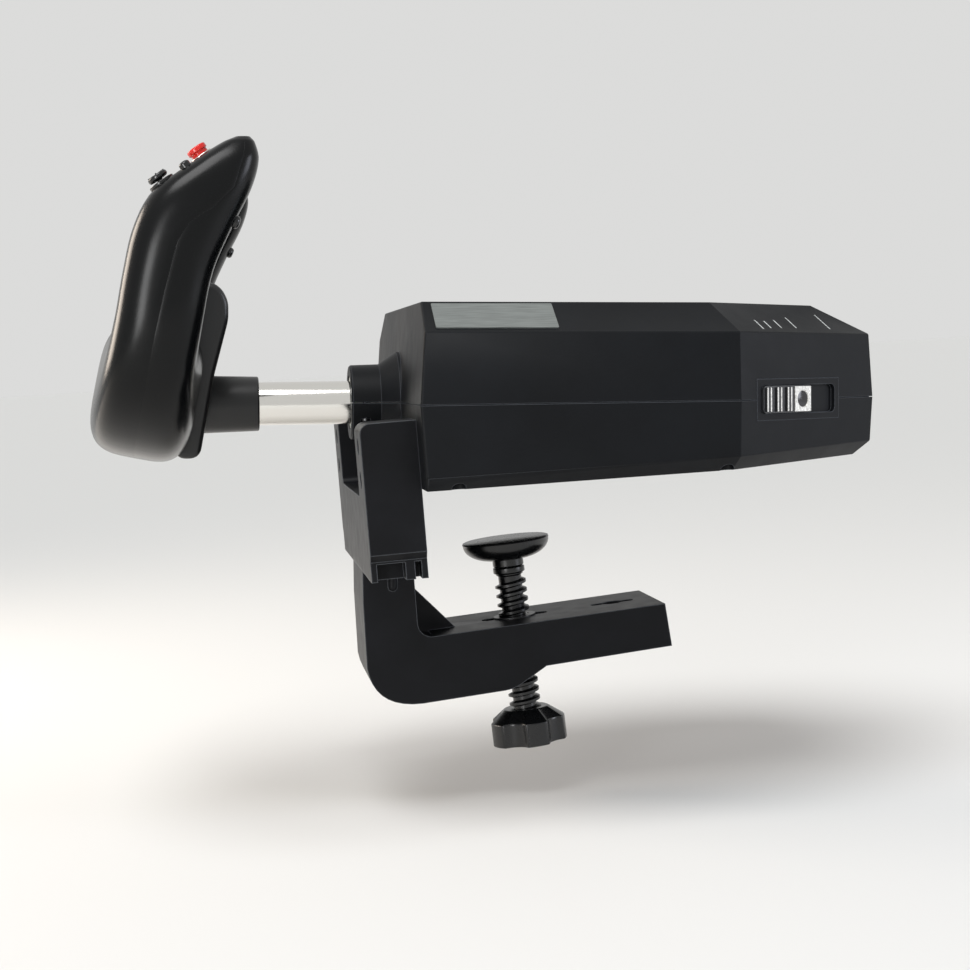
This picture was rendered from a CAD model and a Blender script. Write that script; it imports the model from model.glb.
import math

import bmesh
import bpy
from mathutils import Matrix, Vector


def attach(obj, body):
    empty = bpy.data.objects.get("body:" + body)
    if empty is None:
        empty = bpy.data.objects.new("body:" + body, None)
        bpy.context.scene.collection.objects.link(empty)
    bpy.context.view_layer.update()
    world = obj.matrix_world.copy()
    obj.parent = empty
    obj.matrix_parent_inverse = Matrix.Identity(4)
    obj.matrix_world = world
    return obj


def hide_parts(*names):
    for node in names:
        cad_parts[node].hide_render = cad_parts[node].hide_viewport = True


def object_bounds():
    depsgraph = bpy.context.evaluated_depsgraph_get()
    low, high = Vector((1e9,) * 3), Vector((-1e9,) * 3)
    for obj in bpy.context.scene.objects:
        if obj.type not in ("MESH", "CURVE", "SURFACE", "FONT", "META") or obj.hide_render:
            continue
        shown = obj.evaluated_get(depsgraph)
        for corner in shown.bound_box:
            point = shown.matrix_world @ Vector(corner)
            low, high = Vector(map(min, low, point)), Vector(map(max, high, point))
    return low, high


bl_info = {
    "name": "Desk-clamp flight yoke",
    "version": (1, 0, 0),
    "blender": (4, 5, 0),
    "location": "View3D > Sidebar > Flight yoke",
    "description": "Finishes and detailed pieces of a flight yoke with a desk clamp",
    "category": "Object",
}

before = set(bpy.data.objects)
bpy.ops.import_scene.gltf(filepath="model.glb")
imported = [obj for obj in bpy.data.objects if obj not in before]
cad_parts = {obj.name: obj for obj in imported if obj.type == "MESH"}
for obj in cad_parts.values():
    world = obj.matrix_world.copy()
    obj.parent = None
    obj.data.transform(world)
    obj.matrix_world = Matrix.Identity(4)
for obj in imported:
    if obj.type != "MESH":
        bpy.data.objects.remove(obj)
CAD_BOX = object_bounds()
MM = 0.001

# Shaft frame, in millimetres: the shaft runs along X, the pilot sits at -X and +Y
# is the pilot's left. The settled frame has the base's sloping underside on Z = 0.
WEDGE_ANGLE = math.radians(2.9)
CASE_LENGTH = 233.0
CASE_HALF_WIDTH = 120.0
CASE_STRAIGHT = 150.0
CASE_REAR_HALF_WIDTH = 62.0
CASE_TOP = 48.0
CASE_SHOULDER = 33.5
TOP_BEVEL_WIDTH = 26.0
TOP_FALL = math.radians(0.6)
SIDE_DRAFT = math.radians(1.5)
UNDERSIDE_DEPTH = 40.2

# Shaft and sleeve
SHAFT_RADIUS = 11.0
SHAFT_BORE_RADIUS = 9.2
SHAFT_FRONT = -116.0
SHAFT_REAR = 150.0
SLEEVE_FRONT = -99.0
SLEEVE_REAR = -70.0
SLEEVE_FRONT_RADIUS = 14.6
SLEEVE_REAR_RADIUS = 13.8

# Handle: distance out from the centre, height, direction of travel in degrees,
# middle in X, half depth and half width of each section
HANDLE_STATIONS = (
    (0.0, 8.0, 0.0, -124.6, 24.7, 33.0),
    (46.0, 7.0, 3.0, -124.8, 24.5, 31.5),
    (79.0, 9.0, 18.0, -123.5, 23.5, 27.0),
    (102.5, 21.0, 50.0, -121.0, 20.5, 22.0),
    (113.5, 41.0, 78.0, -116.5, 19.6, 17.0),
    (115.8, 62.0, 88.0, -112.0, 20.0, 15.6),
    (115.8, 82.0, 90.0, -104.8, 22.0, 15.6),
    (115.3, 98.0, 90.0, -96.0, 21.5, 15.2),
    (114.8, 111.0, 90.0, -85.2, 14.4, 12.4),
    (114.6, 119.0, 90.0, -79.6, 7.2, 7.6),
    (114.6, 121.4, 90.0, -77.8, 3.4, 4.2),
)
HANDLE_LEAN = math.radians(12.0)
HANDLE_ROUNDNESS = 2.5
HANDLE_HUB_ROUNDNESS = 3.8
HANDLE_ARC_PARTS = 30
STATION_PARTS = 5
SEAM_POINTS = (
    (-76.5, 126.0), (-77.6, 112.4), (-81.9, 98.2), (-91.0, 89.3), (-102.3, 82.2),
    (-107.5, 74.2), (-113.6, 52.1), (-120.0, 26.1), (-125.6, -0.2), (-134.0, -34.0),
)

# Housing behind the hub in side view, and the cap on the hub's face
HUB_PROFILE = (
    (-116.0, 30.0), (-112.0, -26.0), (-100.2, -26.0), (-92.3, 14.9), (-84.8, 42.1), (-84.7, 51.0),
    (-87.5, 56.9), (-92.0, 60.4), (-104.0, 60.4),
)
HUB_HALF_WIDTH = 34.0
HUB_FOOT_RADIUS = 10.0
HUB_CROWN_RADIUS = 3.0
HUB_EDGE_RADIUS = 3.0
HUB_CAP_RADIUS = 15.0
HUB_CAP_DROP = 6.0
HUB_CAP_DEPTH = 3.0

# Slanted face at the end of each horn
HORN_OFFSET = 115.3
CONTROL_X = -107.1
CONTROL_Z = 105.1
CONTROL_ANGLE = math.radians(35.5)
CONTROL_EDGE = 1.3

# Controls, in the plane of each horn's slanted face
RED_BUTTON = (13.5, 4.5)
SMALL_BUTTON = (4.6, -5.6)
HAT_SWITCH = (-8.0, 0.5)
TRIGGER_X = -83.0
TRIGGER_Z = 84.0
TRIGGER_ANGLE = math.radians(113.9)

# Turned outlines of the controls: radius and height of each corner
RED_CAP_LINE = (
    (0.0, 5.2), (3.6, 5.2), (4.7, 4.8), (4.7, 2.7), (4.0, 2.6), (4.0, -2.8), (4.9, -2.8),
    (4.9, -4.0), (0.0, -4.0),
)
BEZEL_LINE = ((4.2, -0.4), (5.5, -0.4), (5.5, 0.6), (5.1, 0.9), (4.3, 0.9))
SMALL_CAP_LINE = ((0.0, 2.5), (1.6, 2.3), (2.6, 1.6), (2.6, -2.8), (3.5, -2.8), (3.5, -4.0), (0.0, -4.0))
HAT_CUP_LINE = (
    (0.0, -5.0), (4.4, -5.0), (4.4, 1.2), (4.7, 1.6), (6.2, 1.4), (6.2, 0.0), (5.2, 0.0),
    (5.2, -6.0), (0.0, -6.0),
)
HAT_CAP_LINE = (
    (0.0, 4.2), (2.2, 4.4), (3.9, 5.1), (4.7, 4.7), (4.9, 3.3), (4.3, 2.6), (1.4, 2.6),
    (1.4, -3.2), (0.0, -3.2),
)
HAT_RIDGE = (1.2, 4.2, -0.35, 0.35, 4.1, 5.4)
TRIGGER_LINE = ((0.0, 3.4), (2.2, 3.2), (3.0, 2.2), (3.0, -3.6), (3.9, -3.6), (3.9, -4.8), (0.0, -4.8))

# Slide control on the slanted rear corner
TRACK_START = 11.5
SLIDER_START = 3.3
SLIDER_RIB_PITCH = 7.6
SLIDER_RIBS = 3
SLIDER_RIB_TOP = 2.0
SLIDER_RIB_LENGTH = 11.4
SLIDER_LINE_INSET = 1.4
SLIDER_LINES = ((0.2, 0.9), (2.7, 0.8))
SLIDER_PLATE_MIDDLE = 32.5
SLIDER_DISH_FLOOR = 1.1
SLIDER_DISH_RADIUS = 4.2

# Printed scale lines on the rear bevel: along the bevel, up it, and their length
SCALE_LINES = (
    (20.5, 2.7, 9.6), (27.2, 3.8, 7.4), (35.4, 3.9, 8.4), (46.9, 4.0, 11.2), (72.8, 3.2, 15.4),
)
SCALE_LINE_LEAN = math.radians(-17.0)
SCALE_LINE_WIDTH = 0.75
PRINT_THICKNESS = 0.06

# Clamp, about the axis of its screw: height zero is the top of the arm
ARM_TILT = math.radians(6.3)
ARM_SCREW_X = 60.3
ARM_SCREW_Z = -112.6
PAD_RADIUS = 22.6
PAD_FACE = 41.0
PAD_RIM = 1.6
PAD_NECK_RADIUS = 8.0
PAD_NECK_BASE = 26.5
PAD_BOWL_DEPTH = 9.0
PAD_SOCKET_RADIUS = 5.3
PAD_SOCKET_TOP = 35.5
KNOB_TOP = -48.0
KNOB_HEIGHT = 18.0
KNOB_RADIUS = 19.7
KNOB_SHOULDER_RADIUS = 11.5
KNOB_SHOULDER_DROP = 6.0
KNOB_LOBES = 5
KNOB_FLUTE_RADIUS = 9.0
KNOB_TURN = math.radians(24.0)
KNOB_FLUTE_DEPTH = 3.6
KNOB_EDGE_ANGLE = 28.0

# Thread ridge: half widths at foot and crest as shares of the pitch, and its steps in one turn
THREAD_FOOT = 0.36
THREAD_TIP = 0.13
THREAD_STEPS = 40

# Screw head: shares of its radius and heights, then height and shank as shares of the radius
HEAD_CROWN = ((0.0, 0.5), (0.28, 0.35), (0.55, 0.12), (0.97, 0.45), (1.0, 0.8))
HEAD_HEIGHT = 0.74
SHANK_RADIUS = 0.5
RECESS_REACH = 0.55
RECESS_HALF_WIDTH = 0.1
RECESS_DEPTH = 0.42
BRACKET_SCREW_LEAN = math.radians(-4.0)

# Lower front corner of the arm, from heel to belly: X and height in the settled frame, in millimetres
ARM_HEEL_CURVE = ((-140.8, -91.7), (-138.2, -112.4), (-114.0, -111.6))
ARM_BELLY_END = -105.2
ARM_HALF_WIDTH = 31.5

# Camera and stage, in metres; the floor clears the knob at its lowest, as the part hangs on a desk
CAMERA_PLACE = Vector((-0.2097, -1.0250, 0.0610))
CAMERA_YAW = math.radians(7.694)
CAMERA_PITCH = math.radians(3.703)
CAMERA_ROLL = math.radians(3.629)
CAMERA_FOCAL_PIXELS = 2000.0
CAMERA_SENSOR = 36.0
IMAGE_PIXELS = 970.0
FLOOR_RADIUS = 40.0
FLOOR_DROP = 0.026
WORLD_LIGHT = 0.3
WORLD_SHOWN = 0.92
SUN_DIRECTION = Vector((-0.26, -0.42, 0.87))
SUN_STRENGTH = 2.4
SUN_SPREAD = math.radians(38.0)

# Soft lamps: name, place, what each looks at, its two sides, power in watts and colour
LAMPS = (
    ("front_softbox", (-1.2, 0.55, 0.40), (-0.05, 0, -0.03), (0.6, 0.6), 11.0, "FFF0E0"),
    ("handle_strip", (-0.80, -1.20, 0.05), (-0.23, -0.1, 0.05), (0.30, 0.8), 8.0, "FFFFFF"),
    ("rear_softbox", (1.2, -0.55, 0.30), (0.1, 0, 0), (0.5, 0.7), 7.0, "EEF2FF"),
)

# Joins a CAD node's loose triangles, in metres
MERGE_DISTANCE = 1e-6

PLASTIC_IOR = 1.5

# Gloss of matt black plastics, below that of a bare polymer
SOFT_SHEEN = {"Specular IOR Level": 0.14}


def hex_colour(code):
    """Turn an sRGB hex value into linear red, green, blue and alpha."""
    channels = [int(code[i:i + 2], 16) / 255 for i in (0, 2, 4)]
    linear = [c / 12.92 if c <= 0.04045 else ((c + 0.055) / 1.055) ** 2.4 for c in channels]
    return (*linear, 1.0)


def size_property(name, description, size_mm):
    return bpy.props.FloatProperty(name=name, description=description, default=size_mm * MM,
                                   unit="LENGTH")


def colour_property(name, description, code):
    return bpy.props.FloatVectorProperty(name=name, description=description, subtype="COLOR", size=4,
                                         default=hex_colour(code))


class YokeSizes(bpy.types.PropertyGroup):
    thread_pitch: size_property("Thread pitch", "Distance between turns of the screw's thread", 4.75)
    thread_radius: size_property("Thread radius", "Outer radius of the clamp screw's thread", 8.2)
    thread_depth: size_property("Thread depth", "Depth of the clamp screw's thread", 2.2)
    shell_wall: size_property("Shell wall", "Thickness of the handle's moulded shells", 2.2)
    seam_width: size_property("Seam edge", "Width of the bevel on the shells' edges along the seam", 0.55)


class YokeColours(bpy.types.PropertyGroup):
    casing: colour_property("Casing", "Textured plastic of the casing", "0B0D10")
    handle: colour_property("Handle", "Glossy plastic of the handle", "050607")
    clamp: colour_property("Clamp", "Nylon of the bracket and the arm", "0D0E11")
    button: colour_property("Red button", "Plastic of the red buttons", "D6241C")
    plate: colour_property("Plate", "Bare metal plate on the bevel", "8C918F")


# Frames of the pieces


def settled():
    """Turn from the shaft frame in millimetres to the settled frame in metres."""
    middle = CASE_LENGTH / 2
    contact = Vector((middle, 0, -UNDERSIDE_DEPTH + middle * math.tan(WEDGE_ANGLE)))
    turn = Matrix.Rotation(WEDGE_ANGLE, 4, "Y")
    return Matrix.Scale(MM, 4) @ turn @ Matrix.Translation(-contact)


def axes_frame(x_axis, y_axis, z_axis, place):
    rows = [[x_axis[i], y_axis[i], z_axis[i], place[i]] for i in range(3)]
    return settled() @ Matrix(rows + [[0, 0, 0, 1]])


def shaft_frame():
    """Height axis along the shaft, away from the pilot."""
    return axes_frame(Vector((0, 0, -1)), Vector((0, 1, 0)), Vector((1, 0, 0)), Vector((0, 0, 0)))


def clamp_frame():
    """Height axis up the clamp screw, zero at the arm's top."""
    turn = Matrix.Rotation(-ARM_TILT, 4, "Y")
    return settled() @ Matrix.Translation(Vector((ARM_SCREW_X, 0, ARM_SCREW_Z))) @ turn


def control_frame(side):
    """Slanted face of one horn: x up the slope, z outward. The right side is -1."""
    turn = Matrix.Rotation(-CONTROL_ANGLE, 4, "Y")
    place = Vector((CONTROL_X, side * HORN_OFFSET, CONTROL_Z))
    return settled() @ Matrix.Translation(place) @ turn


def trigger_frame(side):
    turn = Matrix.Rotation(TRIGGER_ANGLE, 4, "Y")
    return settled() @ Matrix.Translation(Vector((TRIGGER_X, side * HORN_OFFSET, TRIGGER_Z))) @ turn


def tail_outward():
    return Vector((CASE_HALF_WIDTH - CASE_REAR_HALF_WIDTH, CASE_STRAIGHT - CASE_LENGTH, 0)).normalized()


def slide_frame():
    """Slide control on the slanted corner: x along it, y up, z outward."""
    outward = tail_outward()
    along = Vector((-outward.y, outward.x, 0))
    corner = Vector((CASE_STRAIGHT, -CASE_HALF_WIDTH, 0))
    return axes_frame(along, Vector((0, 0, 1)), outward, corner + along * TRACK_START)


def rear_bevel_frame():
    """Bevel above the slanted corner, from its lower front end: x along it, y up it, z outward."""
    outward = tail_outward()
    wall = (outward * math.cos(SIDE_DRAFT) + Vector((0, 0, math.sin(SIDE_DRAFT)))).normalized()
    cap = Vector((math.sin(TOP_FALL), 0, math.cos(TOP_FALL)))
    level = (wall - cap * wall.dot(cap)).normalized()
    bevel = (level * (CASE_TOP - CASE_SHOULDER) + cap * TOP_BEVEL_WIDTH).normalized()
    along = bevel.cross(Vector((0, 0, 1))).normalized() * -1
    slope = along.cross(bevel) * -1
    lowered = Vector((0, 0, CASE_TOP)) - cap * (CASE_TOP - CASE_SHOULDER)
    rise = cap - wall * cap.dot(wall)
    start = Vector((CASE_STRAIGHT, -CASE_HALF_WIDTH, 0))
    corner = start + rise * ((lowered - start).dot(cap) / rise.dot(cap))
    return axes_frame(along, slope, bevel, corner)


# Mesh helpers


def soft(points, radius, parts=4):
    """Round the inner corners of an open (radius, height) line."""
    rounded = [Vector(points[0])]
    for before, corner, after in zip(points, points[1:], points[2:]):
        corner = Vector(corner)
        back = Vector(before) - corner
        ahead = Vector(after) - corner
        reach = min(radius, back.length * 0.45, ahead.length * 0.45)
        start = corner + back.normalized() * reach
        end = corner + ahead.normalized() * reach
        for i in range(parts + 1):
            t = i / parts
            rounded.append(start * (1 - t) ** 2 + corner * 2 * t * (1 - t) + end * t * t)
    rounded.append(Vector(points[-1]))
    return rounded


def spin_profile(bm, profile, steps):
    """Turn a line of (radius, height) points about the height axis into a closed skin."""
    verts = [bm.verts.new((r, 0, h)) for r, h in profile]
    edges = [bm.edges.new(pair) for pair in zip(verts, verts[1:])]
    bmesh.ops.spin(bm, geom=verts + edges, cent=(0, 0, 0), axis=(0, 0, 1), angle=2 * math.pi,
                   steps=steps, use_merge=True, use_duplicate=False)
    bmesh.ops.remove_doubles(bm, verts=bm.verts, dist=1e-4)
    bmesh.ops.recalc_face_normals(bm, faces=bm.faces)


def bevel_edges(bm, edges, width, segments, clamped=True):
    bmesh.ops.bevel(bm, geom=edges, offset=width, offset_type="OFFSET", segments=segments,
                    profile=0.5, affect="EDGES", material=-1, clamp_overlap=clamped)


def new_verts(made):
    """Vertices among what an operator made."""
    return [v for v in made if isinstance(v, bmesh.types.BMVert)]


def soften_edges(obj, name, width, segments, angle):
    edge = obj.modifiers.new(name, "BEVEL")
    edge.width = width
    edge.segments = segments
    edge.limit_method = "ANGLE"
    edge.angle_limit = math.radians(angle)


def shade(obj, angle=32.0):
    for polygon in obj.data.polygons:
        polygon.use_smooth = True
    obj.data.set_sharp_from_angle(angle=math.radians(angle))


def new_mesh(name, bm):
    mesh = bpy.data.meshes.new(name)
    bm.to_mesh(mesh)
    bm.free()
    return mesh


def new_object(name, data):
    obj = bpy.data.objects.new(name, data)
    bpy.context.scene.collection.objects.link(obj)
    return obj


def place_piece(bm, name, place, material, body, replaced=(), angle=32.0):
    """Make a finished piece from a bmesh drawn in a local frame, riding on its body."""
    bmesh.ops.transform(bm, matrix=place, verts=bm.verts)
    obj = new_object(name, new_mesh(name, bm))
    obj.data.materials.append(material)
    shade(obj, angle)
    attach(obj, body)
    if replaced:
        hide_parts(*replaced)
    return obj


def turned_piece(profile, name, place, material, body, replaced, steps, ring=False):
    """Turn a finished piece; a ring's outline closes on itself."""
    bm = bmesh.new()
    spin_profile(bm, profile + profile[:1] if ring else profile, steps)
    return place_piece(bm, name, place, material, body, replaced)


def block(bm, x0, x1, y0, y1, z0, z1):
    """Add a box between two corners and return its new vertices."""
    size = Vector((x1 - x0, y1 - y0, z1 - z0))
    middle = Vector((x0 + x1, y0 + y1, z0 + z1)) / 2
    matrix = Matrix.Translation(middle) @ Matrix.Diagonal((*size, 1.0))
    return bmesh.ops.create_cube(bm, size=1.0, matrix=matrix)["verts"]


def turned_block(bm, angle, *box):
    """Add a box and turn it about the height axis."""
    verts = block(bm, *box)
    bmesh.ops.rotate(bm, verts=verts, cent=(0, 0, 0), matrix=Matrix.Rotation(angle, 3, "Z"))
    return verts


# Materials


def add_node(tree, kind, settings=None, links=None):
    """Add a node, set its sockets or properties, and link named inputs from (node, output)."""
    node = tree.nodes.new(kind)
    for key, value in (settings or {}).items():
        if isinstance(key, str) and hasattr(node, key):
            setattr(node, key, value)
        else:
            node.inputs[key].default_value = value
    for key, (source, output) in (links or {}).items():
        tree.links.new(source.outputs[output], node.inputs[key])
    return node


def surface(name, colour, roughness, metallic=0.0, extra=None):
    """Start a material: its tree, shader and object coordinates."""
    material = bpy.data.materials.new(name)
    material.use_nodes = True
    tree = material.node_tree
    shader = tree.nodes["Principled BSDF"]
    shader.inputs["Base Color"].default_value = colour
    shader.inputs["Roughness"].default_value = roughness
    shader.inputs["Metallic"].default_value = metallic
    shader.inputs["IOR"].default_value = PLASTIC_IOR
    for key, value in (extra or {}).items():
        shader.inputs[key].default_value = value
    place = add_node(tree, "ShaderNodeTexCoord")
    return material, tree, shader, place


def patches(tree, vector, size_mm, detail):
    """Noise whose patches have a real size."""
    return add_node(tree, "ShaderNodeTexNoise", {"Scale": 1000.0 / size_mm, "Detail": detail},
                    {"Vector": vector})


def colour_by(tree, shader, source, *stops):
    """Colour the base from a pattern; each stop is a position and a colour."""
    ramp = add_node(tree, "ShaderNodeValToRGB", links={"Fac": source})
    for element, (position, colour) in zip(ramp.color_ramp.elements, stops):
        element.position = position
        element.color = colour
    tree.links.new(ramp.outputs["Color"], shader.inputs["Base Color"])


def roughness_by(tree, shader, source, low, high):
    spread = add_node(tree, "ShaderNodeMapRange", {"To Min": low, "To Max": high}, {"Value": source})
    tree.links.new(spread.outputs["Result"], shader.inputs["Roughness"])


def vary_colour(tree, shader, place, dark, light, size_mm, detail=4.0):
    """Drift the base colour between two values over patches of a real size."""
    noise = patches(tree, (place, "Object"), size_mm, detail)
    colour_by(tree, shader, (noise, "Fac"), (0.35, dark), (0.68, light))


def vary_roughness(tree, shader, place, low, high, size_mm, stretch=None):
    vector = (place, "Object")
    if stretch:
        mapping = add_node(tree, "ShaderNodeMapping", {"Scale": stretch}, {"Vector": vector})
        vector = (mapping, "Vector")
    noise = patches(tree, vector, size_mm, 5.0)
    roughness_by(tree, shader, (noise, "Fac"), low, high)


def grain(tree, shader, place, size_mm, strength, height_mm):
    """Raise a fine moulded grain of a real size."""
    noise = patches(tree, (place, "Object"), size_mm, 2.0)
    noise.inputs["Roughness"].default_value = 0.6
    bump = add_node(tree, "ShaderNodeBump", {"Strength": strength, "Distance": height_mm * MM},
                    {"Height": (noise, "Fac")})
    tree.links.new(bump.outputs["Normal"], shader.inputs["Normal"])
    return bump


def finish(name, colour, roughness, metallic=0.0, extra=None, drift=None, spread=None, texture=None):
    """Make a material whose colour, roughness and grain drift over real sizes in millimetres."""
    material, tree, shader, place = surface(name, colour, roughness, metallic, extra)
    if drift:
        vary_colour(tree, shader, place, *drift)
    if spread:
        vary_roughness(tree, shader, place, *spread)
    bump = grain(tree, shader, place, *texture) if texture else None
    return material, tree, shader, bump


def shades(colour, low, high):
    """A darker and a lighter shade of a colour."""
    return ([min(1.0, c * share) for c in colour[:3]] + [1.0] for share in (low, high))


def rubbed_edges(tree, shader, bump, radius_mm, code):
    """Round sharp edges in the shading and rub their colour lighter."""
    rounded = add_node(tree, "ShaderNodeBevel", {"samples": 6, "Radius": radius_mm * MM})
    tree.links.new(rounded.outputs["Normal"], bump.inputs["Normal"])
    face = add_node(tree, "ShaderNodeNewGeometry")
    turn = add_node(tree, "ShaderNodeVectorMath", {"operation": "DOT_PRODUCT"},
                    {0: (rounded, "Normal"), 1: (face, "Normal")})
    share = add_node(tree, "ShaderNodeMapRange", {"From Min": 0.995, "From Max": 0.93},
                     {"Value": (turn, "Value")})
    base = shader.inputs["Base Color"].links[0].from_node
    mix = add_node(tree, "ShaderNodeMix", {"data_type": "RGBA", 7: hex_colour(code)},
                   {0: (share, "Result"), 6: (base, "Color")})
    tree.links.new(mix.outputs[2], shader.inputs["Base Color"])


def textured_abs(colour):
    # ABS moulded against a spark-eroded tool: near black, matt, with an even fine grain
    material, tree, shader, bump = finish(
        "textured_abs", colour, 0.48, extra=SOFT_SHEEN, drift=(*shades(colour, 0.82, 1.22), 38.0),
        spread=(0.40, 0.56, 14.0), texture=(0.7, 0.32, 0.10))
    rubbed_edges(tree, shader, bump, 0.5, "4A4D52")
    return material


def glass_filled_nylon(colour):
    # Nylon with glass fibre: black, a little smoother than the casing, with a flowed look
    material, tree, shader, bump = finish(
        "glass_filled_nylon", colour, 0.42, extra=SOFT_SHEEN, drift=(*shades(colour, 0.85, 1.3), 26.0),
        spread=(0.34, 0.50, 9.0), texture=(0.9, 0.22, 0.08))
    rubbed_edges(tree, shader, bump, 0.8, "54575B")
    return material


def satin_nylon():
    # Unfilled nylon from a smooth tool: black with a wet-looking satin shine
    return finish("satin_nylon", hex_colour("0A0B0C"), 0.26, spread=(0.20, 0.32, 6.0),
                  texture=(3.0, 0.04, 0.05))[0]


def polished_abs(colour):
    # ABS from a polished tool: deep black with long soft reflections and faint handling haze
    return finish("polished_abs", colour, 0.2, extra={"Specular IOR Level": 0.22},
                  spread=(0.19, 0.27, 22.0), texture=(6.0, 0.06, 0.10))[0]


def satin_abs(name, code):
    # ABS from a brushed tool: black with a broad soft shine
    return finish(name, hex_colour(code), 0.34, spread=(0.28, 0.42, 8.0), texture=(1.4, 0.10, 0.06))[0]


def polished_chrome():
    # Chrome over ground steel tube: mirror bright, with faint lines along the tube
    material, tree, shader, place = surface("polished_chrome", hex_colour("E4E2DD"), 0.07, 1.0)
    turn = add_node(tree, "ShaderNodeMapping",
                    {"Rotation": (0.0, -WEDGE_ANGLE, 0.0), "Scale": (0.02, 1.0, 1.0)},
                    {"Vector": (place, "Object")})
    lines = patches(tree, (turn, "Vector"), 1.2, 4.0)
    roughness_by(tree, shader, (lines, "Fac"), 0.05, 0.15)
    bump = add_node(tree, "ShaderNodeBump", {"Strength": 0.08, "Distance": 0.02 * MM},
                    {"Height": (lines, "Fac")})
    tree.links.new(bump.outputs["Normal"], shader.inputs["Normal"])
    return material


def ground_steel(name, code, roughness):
    # Turned or drawn steel: dull metal with fine tool lines
    return finish(name, hex_colour(code), roughness, 1.0,
                  spread=(roughness - 0.06, roughness + 0.1, 1.5, (1.0, 1.0, 0.1)))[0]


def blacked_steel():
    # Black zinc on a cross-head screw: dark grey metal, rubbed brighter by the driver
    return finish("blacked_steel", hex_colour("3A3B3D"), 0.36, 0.9,
                  drift=(hex_colour("2A2B2D"), hex_colour("6A6B6D"), 1.8))[0]


def brushed_foil(colour):
    # Aluminium foil plate, brushed along its length: grey, with streaks and a faint haze
    material, tree, shader, place = surface("brushed_foil", colour, 0.38, 0.85)
    stretch = add_node(tree, "ShaderNodeMapping", {"Scale": (0.05, 1.0, 1.0)},
                       {"Vector": (place, "Object")})
    streaks = patches(tree, (stretch, "Vector"), 0.9, 6.0)
    dark, light = shades(colour, 0.8, 1.15)
    colour_by(tree, shader, (streaks, "Fac"), (0.3, dark), (0.7, light))
    roughness_by(tree, shader, (streaks, "Fac"), 0.32, 0.5)
    return material


def silver_paint():
    # Silver paint on a small moulded plate: pale with fine metal flake
    return finish("silver_paint", hex_colour("D9D8D2"), 0.34, 0.35,
                  drift=(hex_colour("B9B8B2"), hex_colour("EFEEE9"), 1.1, 6.0))[0]


def glossy_plastic(name, colour):
    # Small caps from a polished tool: even colour with a clear small highlight
    return finish(name, colour, 0.16, spread=(0.12, 0.22, 2.5), texture=(1.2, 0.05, 0.03))[0]


def printed_ink():
    # Screen-printed ink: pale grey, flat, with slightly ragged cover
    return finish("printed_ink", hex_colour("C9CBC8"), 0.6,
                  drift=(hex_colour("8E918F"), hex_colour("DADCDA"), 0.8, 3.0))[0]


def natural_acetal():
    # Natural acetal gears and bush: milky white, slick
    return finish("natural_acetal", hex_colour("E6E3D8"), 0.38, extra={"Subsurface Weight": 0.05},
                  spread=(0.30, 0.45, 5.0))[0]


def solder_mask():
    # Glass laminate under green solder mask, with copper tracks showing as lighter lines
    material, tree, shader, place = surface("solder_mask", hex_colour("12502C"), 0.3)
    cells = add_node(tree, "ShaderNodeTexVoronoi", {"Scale": 1000.0 / 4.0, "feature": "DISTANCE_TO_EDGE"},
                     {"Vector": (place, "Object")})
    colour_by(tree, shader, (cells, "Distance"), (0.04, hex_colour("2F8A4E")), (0.09, hex_colour("0F4526")))
    return material


def sensor_case():
    # Phenolic potentiometer case: dark blue-grey, matt
    return finish("sensor_case", hex_colour("2A3142"), 0.5, spread=(0.42, 0.58, 3.0))[0]


def moulded_rubber():
    # Soft PVC gland: black, dull, with a faint bloom
    return finish("moulded_rubber", hex_colour("171717"), 0.62,
                  drift=(hex_colour("121212"), hex_colour("232323"), 5.0), texture=(0.8, 0.15, 0.05))[0]


def paint_node(name, material):
    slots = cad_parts[name].data.materials
    slots.clear()
    slots.append(material)


def even_shading(obj, angle=30.0):
    """Shade a CAD node's curved faces smoothly through a modifier that leaves its mesh alone."""
    group = bpy.data.node_groups.get("even_shading")
    if group is None:
        group = bpy.data.node_groups.new("even_shading", "GeometryNodeTree")
        group.interface.new_socket("Geometry", in_out="INPUT", socket_type="NodeSocketGeometry")
        group.interface.new_socket("Geometry", in_out="OUTPUT", socket_type="NodeSocketGeometry")
        start = add_node(group, "NodeGroupInput")
        merged = add_node(group, "GeometryNodeMergeByDistance", {"Distance": MERGE_DISTANCE},
                          {"Geometry": (start, 0)})
        smooth = add_node(group, "GeometryNodeSetShadeSmooth", {"Shade Smooth": True},
                          {"Geometry": (merged, 0)})
        turn = add_node(group, "GeometryNodeInputMeshEdgeAngle")
        sharp = add_node(group, "FunctionNodeCompare",
                         {"data_type": "FLOAT", "operation": "GREATER_THAN", 1: math.radians(angle)},
                         {0: (turn, "Unsigned Angle")})
        edges = add_node(group, "GeometryNodeSetShadeSmooth", {"domain": "EDGE", "Shade Smooth": False},
                         {"Geometry": (smooth, 0), "Selection": (sharp, 0)})
        add_node(group, "NodeGroupOutput", links={0: (edges, 0)})
    modifier = obj.modifiers.new("even_shading", "NODES")
    modifier.node_group = group


# Handle


def seam_at(height):
    """X of the seam between the shells at a height."""
    for (x1, z1), (x0, z0) in zip(SEAM_POINTS, SEAM_POINTS[1:]):
        if height >= z0:
            share = min(1.0, (height - z0) / (z1 - z0))
            return x0 + (x1 - x0) * share
    return SEAM_POINTS[-1][0]


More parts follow.
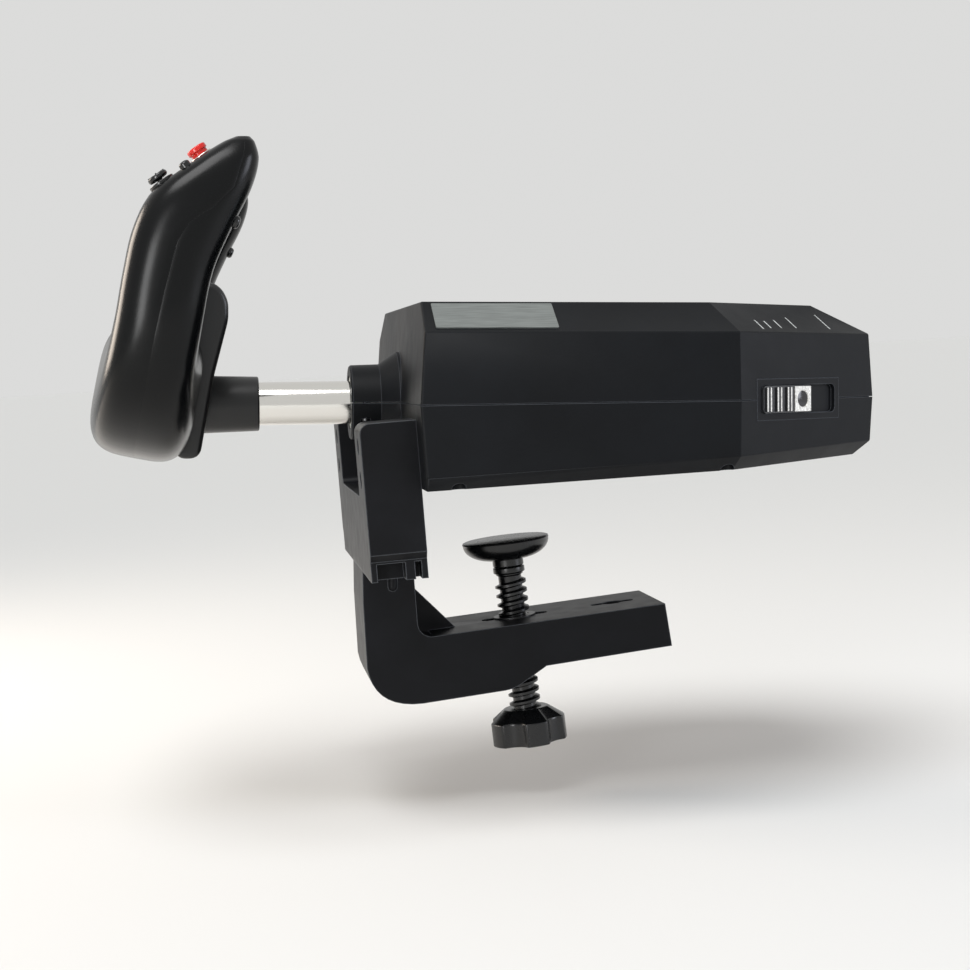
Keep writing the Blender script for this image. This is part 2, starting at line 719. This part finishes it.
def blended_stations(stations, parts):
    """Stations between the given ones, on smooth curves through them."""
    reach = [0.0]
    for a, b in zip(stations, stations[1:]):
        reach.append(reach[-1] + math.hypot(b[0] - a[0], b[1] - a[1]))
    last = len(stations) - 1

    def slope(i, k):
        low = max(0, i - 1)
        high = min(last, i + 1)
        return (stations[high][k] - stations[low][k]) / (reach[high] - reach[low])

    result = []
    for i in range(last):
        span = reach[i + 1] - reach[i]
        for part in range(parts):
            t = part / parts
            values = []
            for k in range(6):
                a, b = stations[i][k], stations[i + 1][k]
                m0, m1 = slope(i, k) * span, slope(i + 1, k) * span
                values.append((2 * t**3 - 3 * t**2 + 1) * a + (t**3 - 2 * t**2 + t) * m0
                              + (3 * t**2 - 2 * t**3) * b + (t**3 - t**2) * m1)
            result.append(tuple(values))
    result.append(stations[-1])
    return result


def section_point(station, turn):
    """Point of a section that leans with the handle and is squarer near the hub."""
    out, height, direction, middle, depth, width = station
    level = math.cos(math.radians(direction))
    lean = HANDLE_LEAN * level
    power = 2.0 / (HANDLE_ROUNDNESS + (HANDLE_HUB_ROUNDNESS - HANDLE_ROUNDNESS) * level**2)
    c, s = math.cos(turn), math.sin(turn)
    x = math.copysign(abs(c) ** power, c) * depth
    w = math.copysign(abs(s) ** power, s) * width
    return Vector((middle + x * math.cos(lean) + w * math.sin(lean),
                   -out + math.sin(math.radians(direction)) * w,
                   height - x * math.sin(lean) + level * w))


def seam_turn(station, low, high):
    """Turn round a section where its outline crosses the seam."""
    for _ in range(30):
        middle = (low + high) / 2
        point = section_point(station, middle)
        if point.x > seam_at(point.z):
            low = middle
        else:
            high = middle
    return low


def section_turns(station, parts):
    """Turns round one section: the rear arc first, then the front arc, meeting on the seam."""
    first = seam_turn(station, 0.0, math.pi)
    second = -seam_turn(station, 0.0, -math.pi)
    rear = [-second + (first + second) * i / parts for i in range(parts)]
    front = [first + (2 * math.pi - second - first) * i / parts for i in range(parts)]
    return rear + front


def handle_skin(parts):
    """Closed skin of the whole handle; faces of the rear shell have material index 1."""
    bm = bmesh.new()
    right = list(HANDLE_STATIONS)
    left = [(-s[0], s[1], -s[2], s[3], s[4], s[5]) for s in reversed(right[1:])]
    stations = blended_stations(left + right, STATION_PARTS)
    rings = []
    for station in stations:
        ring = bmesh.ops.create_circle(bm, cap_ends=False, radius=1.0, segments=2 * parts)["verts"]
        for vert, turn in zip(ring, section_turns(station, parts)):
            vert.co = section_point(station, turn)
        rings.append(ring)
    for before, after in zip(rings, rings[1:]):
        count = len(before)
        for i in range(count):
            face = bm.faces.new((before[i], before[(i + 1) % count], after[(i + 1) % count], after[i]))
            face.material_index = 1 if i < parts else 0
    for ring in (rings[0], rings[-1]):
        face = bm.faces.new(ring)
        face.material_index = 1
    bmesh.ops.recalc_face_normals(bm, faces=bm.faces)
    return bm


def cut_control_face(bm):
    normal = Vector((-math.sin(CONTROL_ANGLE), 0, math.cos(CONTROL_ANGLE)))
    place = Vector((CONTROL_X, 0, CONTROL_Z))
    cut = bmesh.ops.bisect_plane(bm, geom=bm.verts[:] + bm.edges[:] + bm.faces[:], plane_co=place,
                                 plane_no=normal, clear_outer=True, dist=1e-4)
    rim = [e for e in cut["geom_cut"] if isinstance(e, bmesh.types.BMEdge)]
    caps = bmesh.ops.holes_fill(bm, edges=rim, sides=0)["faces"]
    for cap in caps:
        cap.material_index = 0
    edges = list({edge for cap in caps for edge in cap.edges})
    bevel_edges(bm, edges, CONTROL_EDGE, 4)


def handle_shell(bm, index):
    """One shell's faces of the handle's skin."""
    shell = bm.copy()
    others = [face for face in shell.faces if face.material_index != index]
    bmesh.ops.delete(shell, geom=others, context="FACES")
    for face in shell.faces:
        face.material_index = 0
    return shell


class FLIGHTYOKE_OT_handle(bpy.types.Operator):
    """Model the two shells of the handle, split along their curved seam"""
    bl_idname = "flight_yoke.handle"
    bl_label = "Handle shells"

    def execute(self, context):
        sizes = context.scene.yoke_sizes
        material = polished_abs(context.scene.yoke_colours.handle)
        skin = handle_skin(HANDLE_ARC_PARTS)
        cut_control_face(skin)
        for index, name in ((0, "yoke_front_shell"), (1, "yoke_rear_shell")):
            shell = handle_shell(skin, index)
            obj = place_piece(shell, name.replace("yoke", "handle"), settled(), material, "yoke",
                              (name,), 40.0)
            wall = obj.modifiers.new("wall", "SOLIDIFY")
            wall.thickness = sizes.shell_wall
            wall.offset = -1.0
            wall.use_even_offset = False
            soften_edges(obj, "seam_edge", sizes.seam_width, 2, 60.0)
        skin.free()
        return {"FINISHED"}


class FLIGHTYOKE_OT_hub(bpy.types.Operator):
    """Draw the rear housing with its rounded foot and turn the cap on the hub's face"""
    bl_idname = "flight_yoke.hub"
    bl_label = "Hub housing and cap"

    def execute(self, context):
        material = satin_abs("satin_hub", "0C0D0E")
        self.housing(material)
        _, height, _, middle, depth, _ = HANDLE_STATIONS[0]
        ahead = Vector((-math.cos(HANDLE_LEAN), 0, math.sin(HANDLE_LEAN)))
        down = Vector((-math.sin(HANDLE_LEAN), 0, -math.cos(HANDLE_LEAN)))
        place = Vector((middle, 0, height)) + ahead * depth + down * HUB_CAP_DROP
        disc = [(0.0, 0.9), (HUB_CAP_RADIUS - 2.0, 0.8), (HUB_CAP_RADIUS, 0.3),
                (HUB_CAP_RADIUS, -HUB_CAP_DEPTH), (0.0, -HUB_CAP_DEPTH)]
        frame_at_cap = axes_frame(down, Vector((0, -1, 0)), ahead, place)
        turned_piece(soft(disc, 0.8), "hub_cover", frame_at_cap, material, "yoke",
                     ("hub_cap",), 128)
        return {"FINISHED"}

    def housing(self, material):
        bm = bmesh.new()
        foot = soft(HUB_PROFILE[:4], HUB_FOOT_RADIUS, 8)
        crown = soft(HUB_PROFILE[3:] + HUB_PROFILE[:1], HUB_CROWN_RADIUS)
        line = foot[:-1] + crown[:-1]
        face = bm.faces.new([bm.verts.new((x, -HUB_HALF_WIDTH, z)) for x, z in line])
        made = bmesh.ops.extrude_face_region(bm, geom=[face])["geom"]
        bmesh.ops.translate(bm, verts=new_verts(made), vec=(0, 2 * HUB_HALF_WIDTH, 0))
        bmesh.ops.recalc_face_normals(bm, faces=bm.faces)
        rims = [e for e in bm.edges if abs(e.verts[0].co.y - e.verts[1].co.y) < 1e-6
                and min(v.co.x for v in e.verts) > HUB_PROFILE[1][0] - 1]
        bevel_edges(bm, rims, HUB_EDGE_RADIUS, 4, clamped=False)
        place_piece(bm, "hub_housing", settled(), material, "yoke",
                    ("hub_rear_housing",), 35.0)


class FLIGHTYOKE_OT_arm(bpy.types.Operator):
    """Draw the clamp arm with one full curve at its lower front corner"""
    bl_idname = "flight_yoke.arm"
    bl_label = "Clamp arm"

    def execute(self, context):
        bm = bmesh.new()
        bm.from_mesh(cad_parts["clamp_arm"].data)
        bmesh.ops.remove_doubles(bm, verts=bm.verts, dist=MERGE_DISTANCE)
        bmesh.ops.dissolve_limit(bm, angle_limit=math.radians(1.0), verts=bm.verts, edges=bm.edges)
        heel, control, belly = (Vector(point) * MM for point in ARM_HEEL_CURVE)
        for side in (-ARM_HALF_WIDTH * MM, ARM_HALF_WIDTH * MM):
            row = [v for v in bm.verts if abs(v.co.y - side) < 1e-4 and v.co.z < heel.y + 1e-4
                   and v.co.x < ARM_BELLY_END * MM]
            row.sort(key=lambda v: v.co.x)
            for i, vert in enumerate(row):
                t = i / (len(row) - 1)
                point = heel * (1 - t) ** 2 + control * 2 * t * (1 - t) + belly * t * t
                vert.co.x, vert.co.z = point
        obj = place_piece(bm, "arm_moulding", Matrix.Identity(4), bpy.data.materials["glass_filled_nylon"],
                          "base", ("clamp_arm",), 30.0)
        flats = obj.modifiers.new("even_flats", "WEIGHTED_NORMAL")
        flats.keep_sharp = True
        return {"FINISHED"}


class FLIGHTYOKE_OT_shaft(bpy.types.Operator):
    """Turn the chromed tube and the sleeve behind the handle"""
    bl_idname = "flight_yoke.shaft"
    bl_label = "Shaft and sleeve"

    def execute(self, context):
        place = shaft_frame()
        outer = [(SHAFT_BORE_RADIUS, SHAFT_FRONT), (SHAFT_RADIUS, SHAFT_FRONT), (SHAFT_RADIUS, SHAFT_REAR),
                 (SHAFT_BORE_RADIUS, SHAFT_REAR)]
        turned_piece(soft(outer, 0.5), "shaft", place, polished_chrome(), "yoke",
                     ("shaft_tube",), 128, ring=True)
        bore = SHAFT_RADIUS + 0.02
        line = [(bore, SLEEVE_FRONT), (SLEEVE_FRONT_RADIUS, SLEEVE_FRONT),
                (SLEEVE_REAR_RADIUS, SLEEVE_REAR), (bore, SLEEVE_REAR)]
        turned_piece(soft(line, 1.0), "sleeve", place, satin_abs("satin_sleeve", "0E0F10"), "yoke",
                     ("shaft_sleeve",), 128, ring=True)
        return {"FINISHED"}


class FLIGHTYOKE_OT_controls(bpy.types.Operator):
    """Turn the buttons, bezels, hats and triggers of both horns"""
    bl_idname = "flight_yoke.controls"
    bl_label = "Horn controls"

    def execute(self, context):
        red = glossy_plastic("red_cap_plastic", context.scene.yoke_colours.button)
        black = glossy_plastic("black_cap_plastic", hex_colour("121314"))
        ring = ground_steel("plated_ring", "C9C6C0", 0.22)
        for side, name in ((-1, "right_"), (1, "left_")):
            mirror = Matrix.Diagonal((1.0, -side, 1.0, 1.0))
            face = control_frame(side) @ mirror
            red_spot, small_spot, hat_spot = (face @ Matrix.Translation(Vector((*spot, 0.0)))
                                              for spot in (RED_BUTTON, SMALL_BUTTON, HAT_SWITCH))
            turned_piece(soft(RED_CAP_LINE, 0.5), name + "red_cap", red_spot, red,
                         name + "red_button", (name + "red_button",), 64)
            turned_piece(soft(BEZEL_LINE, 0.25), name + "bezel", red_spot, ring, "yoke",
                         (name + "red_button_bezel",), 64, ring=True)
            turned_piece(soft(SMALL_CAP_LINE, 0.5), name + "small_cap", small_spot, black,
                         name + "small_button", (name + "small_button",), 48)
            turned_piece(soft(HAT_CUP_LINE, 0.3), name + "hat_cup", hat_spot, black, "yoke",
                         (name + "hat_base",), 64)
            self.hat(name, hat_spot, black)
            turned_piece(soft(TRIGGER_LINE, 0.6), name + "trigger_cap", trigger_frame(side) @ mirror,
                         black, name + "trigger_button", (name + "trigger_button",), 48)
        return {"FINISHED"}

    def hat(self, name, place, material):
        """Eight-way hat: a dished cap with a raised cross on a stem."""
        bm = bmesh.new()
        spin_profile(bm, soft(HAT_CAP_LINE, 0.5), 64)
        for turn in range(4):
            turned_block(bm, turn * math.pi / 2, *HAT_RIDGE)
        place_piece(bm, name + "hat", place, material, name + "hat_cap",
                    (name + "hat_cap",))


class FLIGHTYOKE_OT_clamp_screw(bpy.types.Operator):
    """Turn the clamp screw with its thread, the pad and the lobed knob"""
    bl_idname = "flight_yoke.clamp_screw"
    bl_label = "Clamp screw, pad and knob"

    def execute(self, context):
        nylon = satin_nylon()
        place = clamp_frame()
        self.pad(place, nylon)
        self.screw(context.scene.yoke_sizes, place, nylon)
        self.knob(place, nylon)
        return {"FINISHED"}

    def pad(self, place, material):
        """Mushroom pad with a crowned underside and a thin rolled rim."""
        rim = PAD_FACE - PAD_RIM
        edge = [(0.0, PAD_FACE), (PAD_RADIUS - 1.1, PAD_FACE), (PAD_RADIUS - 0.3, PAD_FACE - 0.3),
                (PAD_RADIUS, PAD_FACE - 1.0)]
        under = []
        for i in range(17):
            turn = i / 16 * math.pi / 2
            under.append((PAD_NECK_RADIUS + (PAD_RADIUS - 0.2 - PAD_NECK_RADIUS) * math.cos(turn),
                          rim - PAD_BOWL_DEPTH * math.sin(turn)))
        socket = [(PAD_NECK_RADIUS, PAD_NECK_BASE + 0.6), (PAD_NECK_RADIUS - 0.6, PAD_NECK_BASE),
                  (PAD_SOCKET_RADIUS, PAD_NECK_BASE), (PAD_SOCKET_RADIUS, PAD_SOCKET_TOP),
                  (0.0, PAD_SOCKET_TOP)]
        turned_piece(edge + under + socket, "swivel_pad", place, material, "clamp_pad",
                     ("clamp_pad",), 128)

    def screw(self, sizes, place, material):
        pitch = sizes.thread_pitch / MM
        crest = sizes.thread_radius / MM
        root = crest - sizes.thread_depth / MM
        top = PAD_NECK_BASE - 0.3
        bm = bmesh.new()
        core = [(0.0, KNOB_TOP - 8), (crest - 2, KNOB_TOP - 8), (crest - 2, KNOB_TOP), (root, KNOB_TOP),
                (root, top - 4.4), (crest - 1.2, top - 4.0), (crest - 1.2, top - 3.2), (crest, top - 2.8),
                (crest, top), (5.2, top), (5.2, PAD_SOCKET_TOP - 0.9), (4.6, PAD_SOCKET_TOP - 0.3),
                (0.0, PAD_SOCKET_TOP - 0.3)]
        spin_profile(bm, soft(core, 0.4), 96)
        self.ridge(bm, pitch, root, crest, KNOB_TOP - pitch, top - 6.0)
        place_piece(bm, "threaded_screw", place, material, "clamp_screw",
                    ("clamp_screw",), 40.0)

    def ridge(self, bm, pitch, root, crest, start, end):
        """Wind one thread ridge up the core, with a flat crest."""
        foot = pitch * THREAD_FOOT
        tip = pitch * THREAD_TIP
        outline = ((root - 0.3, -foot), (crest, -tip), (crest, tip), (root - 0.3, foot))
        verts = [bm.verts.new((r, 0, start + h)) for r, h in outline]
        face = bm.faces.new(verts)
        steps = int((end - start) / pitch * THREAD_STEPS)
        bmesh.ops.spin(bm, geom=[face] + list(face.edges) + verts, cent=(0, 0, 0), axis=(0, 0, 1),
                       dvec=(0, 0, pitch / THREAD_STEPS), angle=2 * math.pi * steps / THREAD_STEPS,
                       steps=steps, use_merge=False, use_duplicate=False)
        bmesh.ops.recalc_face_normals(bm, faces=bm.faces)

    def knob(self, place, material):
        """Five-lobed knob: a fluted outline drawn up, with a sloping shoulder."""
        bm = bmesh.new()
        base = KNOB_TOP - KNOB_HEIGHT
        ring = bmesh.ops.create_circle(bm, cap_ends=False, radius=KNOB_RADIUS, segments=240)["verts"]
        reach = KNOB_RADIUS + KNOB_FLUTE_RADIUS - KNOB_FLUTE_DEPTH
        for vert in ring:
            vert.co = vert.co.normalized() * self.knob_radius(math.atan2(vert.co.y, vert.co.x), reach)
            vert.co.z = base
        bottom = bm.faces.new(ring)
        made = bmesh.ops.extrude_face_region(bm, geom=[bottom])["geom"]
        bmesh.ops.translate(bm, verts=new_verts(made), vec=(0, 0, KNOB_HEIGHT - KNOB_SHOULDER_DROP))
        cap = next(f for f in made if isinstance(f, bmesh.types.BMFace))
        made = bmesh.ops.extrude_face_region(bm, geom=[cap])["geom"]
        for vert in new_verts(made):
            flat = Vector((vert.co.x, vert.co.y))
            vert.co.x, vert.co.y = flat.normalized() * min(flat.length, KNOB_SHOULDER_RADIUS)
            vert.co.z = KNOB_TOP
        bmesh.ops.delete(bm, geom=[cap], context="FACES")
        bmesh.ops.recalc_face_normals(bm, faces=bm.faces)
        obj = place_piece(bm, "lobed_knob", place, material, "clamp_screw",
                          ("clamp_knob",), KNOB_EDGE_ANGLE)
        soften_edges(obj, "soft_edge", 0.9 * MM, 3, KNOB_EDGE_ANGLE)

    def knob_radius(self, angle, reach):
        """Distance from the axis to the fluted outline in one direction."""
        pitch = 2 * math.pi / KNOB_LOBES
        offset = (angle - KNOB_TURN + pitch / 2) % pitch - pitch / 2
        inside = KNOB_FLUTE_RADIUS**2 - (reach * math.sin(offset))**2
        if inside <= 0:
            return KNOB_RADIUS
        return min(KNOB_RADIUS, reach * math.cos(offset) - math.sqrt(inside))


class FLIGHTYOKE_OT_fasteners(bpy.types.Operator):
    """Give every screw a rounded head with a cross recess"""
    bl_idname = "flight_yoke.fasteners"
    bl_label = "Screw heads"

    def execute(self, context):
        steel = blacked_steel()
        groups = (("casing_screws", (0, 0, 1), "base"), ("collar_screws", (0, 0, 1), "base"),
                  ("bracket_screws", (1, 0, 0), "base"), ("yoke_screws", (-1, 0, 0), "yoke"))
        for node, axis, body in groups:
            self.heads(node, Vector(axis), body, steel)
        return {"FINISHED"}

    def heads(self, node, axis, body, material):
        """Rebuild each screw of a CAD node from its own place and size."""
        bm = bmesh.new()
        source = bmesh.new()
        source.from_mesh(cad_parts[node].data)
        bmesh.ops.remove_doubles(source, verts=source.verts, dist=MERGE_DISTANCE)
        direction = (settled().to_3x3() @ axis).normalized()
        if node == "bracket_screws":
            direction = Matrix.Rotation(BRACKET_SCREW_LEAN, 3, "Y") @ direction
        for island in self.islands(source):
            points = [v.co.copy() for v in island]
            heights = [p.dot(direction) for p in points]
            low, high = min(heights), max(heights)
            seat = [p for p in points if p.dot(direction) < low + 1e-6]
            middle = sum(seat, Vector()) / len(seat)
            radius = max((p - middle).length for p in seat)
            self.screw(bm, middle, direction, radius / MM, (high - low) / MM)
        source.free()
        place_piece(bm, node + "_cross_head", Matrix.Identity(4), material, body,
                    (node,))

    def islands(self, source):
        """Groups of joined vertices."""
        left = set(source.verts)
        while left:
            group = set()
            ahead = [left.pop()]
            while ahead:
                vert = ahead.pop()
                group.add(vert)
                for edge in vert.link_edges:
                    other = edge.other_vert(vert)
                    if other in left:
                        left.discard(other)
                        ahead.append(other)
            yield group

    def screw(self, bm, seat, direction, radius, length):
        """Add one screw from its head's face, height zero, to its tip."""
        part = bmesh.new()
        under, shank = radius * HEAD_HEIGHT, radius * SHANK_RADIUS
        line = [(radius * share, height) for share, height in HEAD_CROWN]
        line += [(radius, under), (shank, under), (shank, length - 1.0), (0.0, length)]
        spin_profile(part, line, 40)
        reach, half = radius * RECESS_REACH, radius * RECESS_HALF_WIDTH
        for turn in range(2):
            turned_block(part, turn * math.pi / 2, -reach, reach, -half, half, 0.0, RECESS_DEPTH)
        turn = direction.to_track_quat("Z", "Y").to_matrix().to_4x4()
        place = Matrix.Translation(seat) @ turn @ Matrix.Scale(MM, 4)
        bmesh.ops.transform(part, matrix=place, verts=part.verts)
        mesh = new_mesh("screw_part", part)
        bm.from_mesh(mesh)
        bpy.data.meshes.remove(mesh)


class FLIGHTYOKE_OT_markings(bpy.types.Operator):
    """Add the slider's silver lines and round mark, and the plain scale lines on the bevel"""
    bl_idname = "flight_yoke.markings"
    bl_label = "Slider and scale marks"

    def execute(self, context):
        ink = printed_ink()
        bm = bmesh.new()
        half = SCALE_LINE_WIDTH / 2
        for along, up, length in SCALE_LINES:
            line = turned_block(bm, SCALE_LINE_LEAN, -half, half, 0.0, length, -0.02, PRINT_THICKNESS)
            bmesh.ops.translate(bm, verts=line, vec=(along, up, 0.0))
        place_piece(bm, "scale_lines", rear_bevel_frame(), ink, "base")
        silver = silver_paint()
        bm = bmesh.new()
        half = SLIDER_RIB_LENGTH / 2
        for rib in range(SLIDER_RIBS):
            start = SLIDER_START + SLIDER_LINE_INSET + rib * SLIDER_RIB_PITCH
            for offset, width in SLIDER_LINES:
                block(bm, start + offset, start + offset + width, -half, half, SLIDER_RIB_TOP - 0.1,
                      SLIDER_RIB_TOP + 0.12)
        bevel_edges(bm, bm.edges[:], 0.08, 1)
        place_piece(bm, "slider_lines", slide_frame(), silver, "slide_switch")
        mark = [(0.0, SLIDER_DISH_FLOOR + 0.22), (3.0, SLIDER_DISH_FLOOR + 0.2),
                (SLIDER_DISH_RADIUS - 0.1, SLIDER_DISH_FLOOR - 0.05), (0.0, SLIDER_DISH_FLOOR - 0.05)]
        place = slide_frame() @ Matrix.Translation(Vector((SLIDER_PLATE_MIDDLE, 0, 0)))
        enamel = glossy_plastic("mark_enamel", hex_colour("1A1B1C"))
        turned_piece(mark, "slider_mark", place, enamel, "slide_switch", (), 48)
        return {"FINISHED"}


class FLIGHTYOKE_OT_finishes(bpy.types.Operator):
    """Give every CAD node that stays its real material"""
    bl_idname = "flight_yoke.finishes"
    bl_label = "Finishes of the CAD nodes"

    def execute(self, context):
        colours = context.scene.yoke_colours
        steel = ground_steel("ground_steel", "A9AAAC", 0.28)
        acetal = natural_acetal()
        board = solder_mask()
        black = glossy_plastic("gimbal_plastic", hex_colour("121314"))
        casing = textured_abs(colours.casing)
        nylon = glass_filled_nylon(colours.clamp)
        sensor = sensor_case()
        groups = (
            (casing, ("upper_casing", "lower_casing", "slide_track", "carriage")),
            (nylon, ("clamp_bracket", "clamp_arm")),
            (satin_abs("satin_slider", "1C1D1F"), ("slide_knob",)),
            (satin_abs("satin_nut", "111214"), ("clamp_nut",)),
            (acetal, ("shaft_bush", "roll_gear", "roll_pinion", "pitch_pinion", "pitch_rack")),
            (steel, ("shaft_rings", "hub_pin", "guide_rods", "arm_bolts")),
            (ground_steel("spring_wire", "8B8D91", 0.34), ("pitch_springs",)),
            (board, ("main_circuit_board", "right_grip_board", "left_grip_board")),
            (sensor, ("pitch_sensor", "roll_sensor")),
            (moulded_rubber(), ("cable_gland",)),
            (brushed_foil(colours.plate), ("name_plate",)),
            (silver_paint(), ("slide_plate",)),
            (black, ("right_hat_gimbal", "left_hat_gimbal")),
        )
        for material, names in groups:
            for name in names:
                paint_node(name, material)
                even_shading(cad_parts[name])
        return {"FINISHED"}


class FLIGHTYOKE_OT_stage(bpy.types.Operator):
    """Set the pale floor, soft lamps and the camera"""
    bl_idname = "flight_yoke.stage"
    bl_label = "Floor, light and camera"

    def execute(self, context):
        scene = context.scene
        scene.view_settings.view_transform = "Standard"
        self.floor()
        self.world(scene)
        self.lamps()
        self.camera(scene)
        return {"FINISHED"}

    def floor(self):
        bm = bmesh.new()
        bmesh.ops.create_circle(bm, cap_ends=True, radius=FLOOR_RADIUS, segments=64)
        bmesh.ops.translate(bm, verts=bm.verts, vec=(0, 0, CAD_BOX[0].z - FLOOR_DROP))
        floor = new_object("floor", new_mesh("floor", bm))
        # Matt studio paper: pale, even
        material, tree, shader, place = surface("studio_paper", hex_colour("DEDEDC"), 0.9)
        vary_roughness(tree, shader, place, 0.85, 0.95, 300.0)
        floor.data.materials.append(material)

    def world(self, scene):
        """Soft even light, with a pale background for the camera and reflections."""
        world = bpy.data.worlds.new("studio")
        world.use_nodes = True
        scene.world = world
        tree = world.node_tree
        light = tree.nodes["Background"]
        light.inputs["Color"].default_value = hex_colour("F4F5F6")
        light.inputs["Strength"].default_value = WORLD_LIGHT
        shown = add_node(tree, "ShaderNodeBackground",
                         {"Color": hex_colour("E4E4E3"), "Strength": WORLD_SHOWN})
        path = add_node(tree, "ShaderNodeLightPath")
        mirrors = add_node(tree, "ShaderNodeMath", {"operation": "MAXIMUM"},
                           {0: (path, "Is Glossy Ray"), 1: (path, "Is Transmission Ray")})
        seen = add_node(tree, "ShaderNodeMath", {"operation": "MAXIMUM"},
                        {0: (path, "Is Camera Ray"), 1: (mirrors, 0)})
        mix = add_node(tree, "ShaderNodeMixShader", links={0: (seen, 0), 1: (light, 0), 2: (shown, 0)})
        tree.links.new(mix.outputs[0], tree.nodes["World Output"].inputs["Surface"])

    def lamps(self):
        """Even light from a broad overhead source, and soft lamps for the highlights."""
        light = bpy.data.lights.new("overhead", "SUN")
        light.energy = SUN_STRENGTH
        light.angle = SUN_SPREAD
        self.aim(new_object("overhead", light), SUN_DIRECTION)
        for name, place, target, size, power, colour in LAMPS:
            light = bpy.data.lights.new(name, "AREA")
            light.shape = "RECTANGLE"
            light.size, light.size_y = size
            light.energy = power
            light.color = hex_colour(colour)[:3]
            obj = new_object(name, light)
            obj.location = place
            self.aim(obj, Vector(place) - Vector(target))

    def aim(self, obj, backward):
        """Turn a lamp so that its back points along a direction."""
        obj.rotation_mode = "QUATERNION"
        obj.rotation_quaternion = backward.to_track_quat("Z", "Y")

    def camera(self, scene):
        data = bpy.data.cameras.new("camera")
        data.sensor_width = CAMERA_SENSOR
        data.lens = data.sensor_width * CAMERA_FOCAL_PIXELS / IMAGE_PIXELS
        data.clip_start = 0.05
        data.clip_end = 100.0
        camera = new_object("camera", data)
        ahead = Vector((math.sin(CAMERA_YAW) * math.cos(CAMERA_PITCH),
                        math.cos(CAMERA_YAW) * math.cos(CAMERA_PITCH), -math.sin(CAMERA_PITCH)))
        side = Vector((math.cos(CAMERA_YAW), -math.sin(CAMERA_YAW), 0))
        up = side.cross(ahead)
        right = side * math.cos(CAMERA_ROLL) - up * math.sin(CAMERA_ROLL)
        top = up * math.cos(CAMERA_ROLL) + side * math.sin(CAMERA_ROLL)
        columns = (right, top, -ahead, CAMERA_PLACE)
        camera.matrix_world = Matrix([[c[i] for c in columns] for i in range(3)] + [[0, 0, 0, 1]])
        scene.camera = camera


OPERATORS = (
    FLIGHTYOKE_OT_finishes, FLIGHTYOKE_OT_handle, FLIGHTYOKE_OT_hub, FLIGHTYOKE_OT_shaft,
    FLIGHTYOKE_OT_controls, FLIGHTYOKE_OT_arm, FLIGHTYOKE_OT_clamp_screw, FLIGHTYOKE_OT_fasteners,
    FLIGHTYOKE_OT_markings, FLIGHTYOKE_OT_stage,
)


class FLIGHTYOKE_PT_panel(bpy.types.Panel):
    """List the steps that finish the flight yoke"""
    bl_idname = "FLIGHTYOKE_PT_panel"
    bl_label = "Flight yoke"
    bl_space_type = "VIEW_3D"
    bl_region_type = "UI"
    bl_category = "Flight yoke"

    def draw(self, context):
        for group in (context.scene.yoke_sizes, context.scene.yoke_colours):
            for name in group.__annotations__:
                self.layout.prop(group, name)
        for operator in OPERATORS:
            self.layout.operator(operator.bl_idname)


CLASSES = (YokeSizes, YokeColours) + OPERATORS + (FLIGHTYOKE_PT_panel,)


def register():
    for cls in CLASSES:
        bpy.utils.register_class(cls)
    bpy.types.Scene.yoke_sizes = bpy.props.PointerProperty(type=YokeSizes)
    bpy.types.Scene.yoke_colours = bpy.props.PointerProperty(type=YokeColours)


def unregister():
    del bpy.types.Scene.yoke_colours
    del bpy.types.Scene.yoke_sizes
    for cls in reversed(CLASSES):
        bpy.utils.unregister_class(cls)


def main():
    register()
    for operator in OPERATORS:
        group, name = operator.bl_idname.split(".")
        getattr(getattr(bpy.ops, group), name)()


if __name__ == "__main__":
    main()
